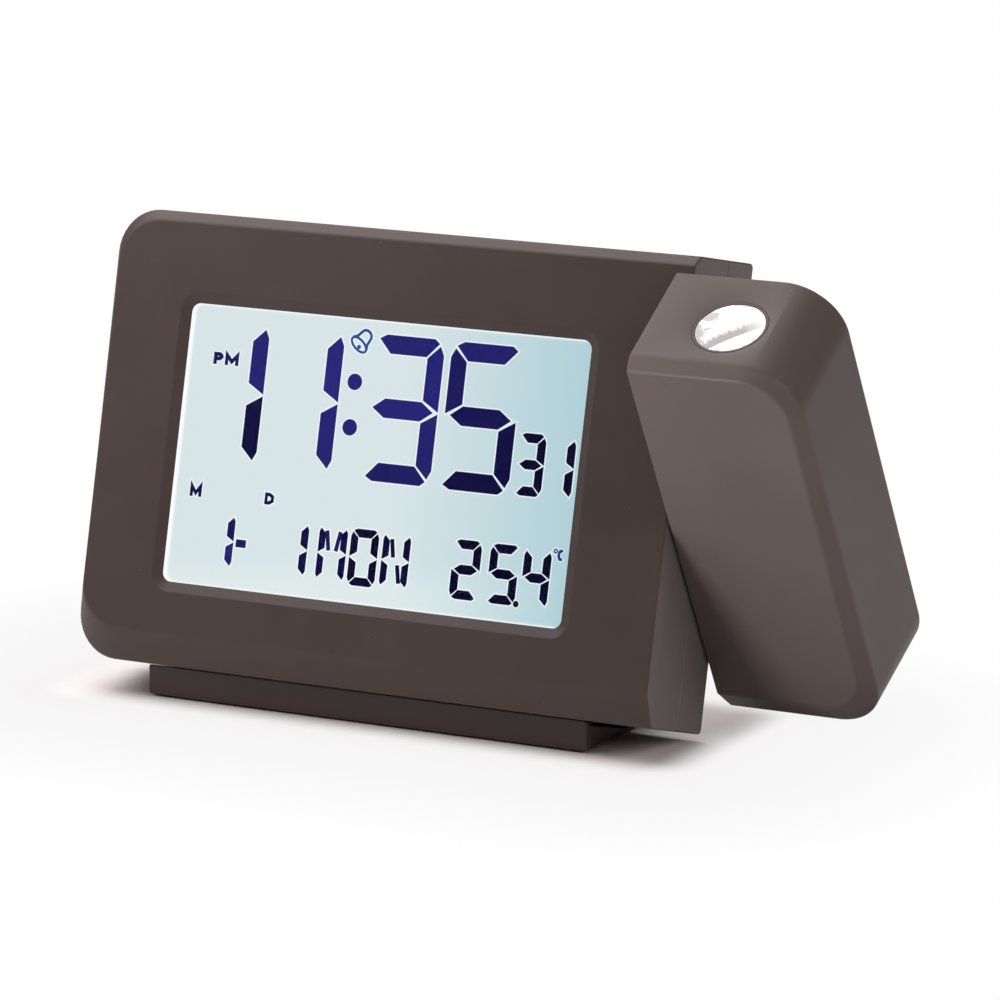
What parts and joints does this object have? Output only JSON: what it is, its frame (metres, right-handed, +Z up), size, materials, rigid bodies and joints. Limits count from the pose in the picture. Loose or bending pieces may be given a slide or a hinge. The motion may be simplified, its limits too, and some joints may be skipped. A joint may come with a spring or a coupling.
{
  "type": "projection alarm clock",
  "caption": "Digital alarm clock: a slab with a lit display leans back on a foot, and an arm with a projector lens swivels on its flat end.",
  "frame": {"origin": "middle of the rubber pad's underside, on the table", "axes": "+Z up, -Y the way the display faces, +X towards the projector arm"},
  "size_m": [0.1553, 0.0637, 0.0904],
  "materials": {
    "housing": "satin moulded plastic, dark warm brown-grey",
    "keys": "satin, a shade lighter than the housing",
    "pad_rubber": "matt",
    "screw_steel": "zinc plated",
    "window_clear": "clear, polished",
    "display_glass": "lit from behind, dark blue segments",
    "guide_clear": "frosted back",
    "led_resin": "clear resin",
    "holder_white": "plain",
    "contact_rubber": "soft, striped through its thickness",
    "circuit_board": "lacquered",
    "black_parts": "plain",
    "bright_metal": "nickel plated",
    "cell_case": "plain sleeve",
    "hub_plastic": "plain",
    "optic_black": "matt black",
    "lens_clear": "polished",
    "image_glass": "polished"
  },
  "bodies": {
    "slab": {"front_shell": "housing", "rear_shell": "housing", "foot": "housing", "foot_pad": "pad_rubber", "foot_screws": "screw_steel", "case_screws": "screw_steel", "window": "window_clear", "lcd_panel": "display_glass", "light_guide": "guide_clear", "backlight_leds": "led_resin", "lcd_holder": "holder_white", "contact_strip": "contact_rubber", "main_board": "circuit_board", "board_screws": "screw_steel", "clock_chip": "black_parts", "quartz_crystal": "bright_metal", "push_switches": "black_parts", "snooze_switch": "black_parts", "slide_switch": "black_parts", "lead_socket": "black_parts", "buzzer": "black_parts", "power_inlet": "black_parts", "battery_cells": "cell_case", "battery_contacts": "bright_metal", "friction_washer": "hub_plastic"},
    "arm": {"arm_shell": "housing", "arm_cover": "housing", "arm_screws": "screw_steel", "pivot_hub": "hub_plastic", "hub_clamp": "hub_plastic", "hub_screws": "screw_steel", "arm_lead": "black_parts", "lamp_tube": "black_parts", "tube_screws": "screw_steel", "lamp_board": "circuit_board", "lamp": "led_resin", "condenser": "lens_clear", "image_panel": "image_glass"},
    "ring": {"focus_ring": "optic_black"},
    "barrel": {"lens_barrel": "optic_black", "projector_lens": "lens_clear"},
    "door": {"battery_door": "housing"},
    "snooze": {"snooze_button": "keys"},
    "time_key": {"time_button": "keys"},
    "alarm_key": {"alarm_button": "keys"},
    "plus_key": {"plus_button": "keys"},
    "minus_key": {"minus_button": "keys"},
    "slider": {"slide_knob": "keys"}
  },
  "joints": [
    {"name": "arm_swivel", "type": "hinge", "parent": "slab", "child": "arm", "pos_m": [0.0614, -0.00149, 0.04592], "axis": [1, 0, 0], "range_deg": [-44, 136]},
    {"name": "focus_turn", "type": "hinge", "parent": "arm", "child": "ring", "pos_m": [0.0769, -0.01265, 0.06303], "axis": [0, -0.5, 0.866], "range_deg": [-92, 92]},
    {"name": "barrel_slide", "type": "slide", "parent": "arm", "child": "barrel", "axis": [0, -0.5, 0.866], "range_m": [-0.0007, 0.0007]},
    {"name": "door_hinge", "type": "hinge", "parent": "slab", "child": "door", "pos_m": [-0.0114, 0.00145, 0.0139], "axis": [-1, 0, 0], "range_deg": [0, 75]},
    {"name": "snooze_press", "type": "slide", "parent": "slab", "child": "snooze", "axis": [0, -0.2419, -0.9703], "range_m": [0, 0.0008], "stiffness_N_per_m": 700, "springref_m": -0.0006},
    {"name": "time_press", "type": "slide", "parent": "slab", "child": "time_key", "axis": [0, -0.9703, 0.2419], "range_m": [0, 0.0006], "stiffness_N_per_m": 700, "springref_m": -0.0006},
    {"name": "alarm_press", "type": "slide", "parent": "slab", "child": "alarm_key", "axis": [0, -0.9703, 0.2419], "range_m": [0, 0.0006], "stiffness_N_per_m": 700, "springref_m": -0.0006},
    {"name": "plus_press", "type": "slide", "parent": "slab", "child": "plus_key", "axis": [0, -0.9703, 0.2419], "range_m": [0, 0.0006], "stiffness_N_per_m": 700, "springref_m": -0.0006},
    {"name": "minus_press", "type": "slide", "parent": "slab", "child": "minus_key", "axis": [0, -0.9703, 0.2419], "range_m": [0, 0.0006], "stiffness_N_per_m": 700, "springref_m": -0.0006},
    {"name": "switch_slide", "type": "slide", "parent": "slab", "child": "slider", "axis": [1, 0, 0], "range_m": [0, 0.004]}
  ],
  "couplings": [
    {"joint": "focus_turn", "follows": "barrel_slide", "rad_per_m": 2244}
  ]
}
